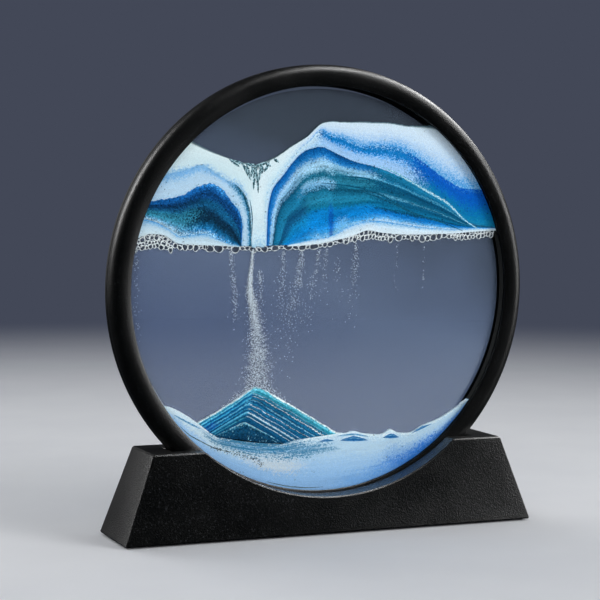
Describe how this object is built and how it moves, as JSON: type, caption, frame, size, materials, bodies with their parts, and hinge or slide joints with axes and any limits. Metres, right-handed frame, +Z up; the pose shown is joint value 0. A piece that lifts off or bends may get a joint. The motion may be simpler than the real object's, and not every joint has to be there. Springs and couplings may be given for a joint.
{
  "type": "moving sand art frame",
  "caption": "Round black ring frame with a sealed glass cell of liquid, layered sand and bubbles, standing in the trough of a tapered base; the ring turns to restart the sand and lifts out.",
  "frame": {"origin": "middle of the base on the surface that its rubber feet stand on", "axes": "+Z up, +X along the base to the right as seen from the front, the front faces -Y and the ring's axis lies along Y"},
  "size_m": [0.18, 0.0356, 0.1876],
  "materials": {
    "moulded_black": "satin black moulding with a fine grain",
    "black_rubber": "matte",
    "grey_foam": "matte foam cushion",
    "silicone": "satin",
    "screw_steel": "zinc plated",
    "clear_glass": "clear and polished",
    "clear_liquid": "clear",
    "trapped_air": "clear bubbles with bright rims",
    "white_sand": "fine loose grains",
    "pale_sand": "fine loose grains",
    "sky_sand": "fine loose grains",
    "teal_sand": "fine loose grains",
    "navy_sand": "fine loose grains"
  },
  "bodies": {
    "base": {"base_shell": "moulded_black", "base_plate": "moulded_black", "base_screw_front_left": "screw_steel", "base_screw_front_right": "screw_steel", "base_screw_rear_left": "screw_steel", "base_screw_rear_right": "screw_steel", "foot_front_left": "black_rubber", "foot_front_right": "black_rubber", "foot_rear_left": "black_rubber", "foot_rear_right": "black_rubber"},
    "liquid_fill": {"liquid": "clear_liquid"},
    "ring_frame": {"front_bezel": "moulded_black", "rear_bezel": "moulded_black", "front_glass": "clear_glass", "rear_glass": "clear_glass", "front_gasket": "grey_foam", "rear_gasket": "grey_foam", "cell_spacer": "silicone", "fill_plug": "black_rubber", "upper_white_sand": "white_sand", "left_pale_sand": "pale_sand", "left_navy_sand": "navy_sand", "left_foot_sand": "white_sand", "right_sky_sand": "sky_sand", "right_teal_sand": "teal_sand", "right_foot_sand": "pale_sand", "bed_sand": "pale_sand", "mound_outer_sand": "sky_sand", "mound_middle_sand": "teal_sand", "mound_core_sand": "navy_sand", "drift_sand_1": "sky_sand", "drift_sand_2": "sky_sand", "drift_sand_3": "sky_sand", "bubble_raft": "trapped_air", "falling_sand": "white_sand"}
  },
  "joints": [
    {"name": "frame_lift", "type": "slide", "parent": "base", "child": "liquid_fill", "axis": [0, 0, 1], "range_m": [0, 0.04]},
    {"name": "frame_turn", "type": "hinge", "parent": "liquid_fill", "child": "ring_frame", "pos_m": [0, 0, 0.0976], "axis": [0, 1, 0], "continuous": true}
  ]
}
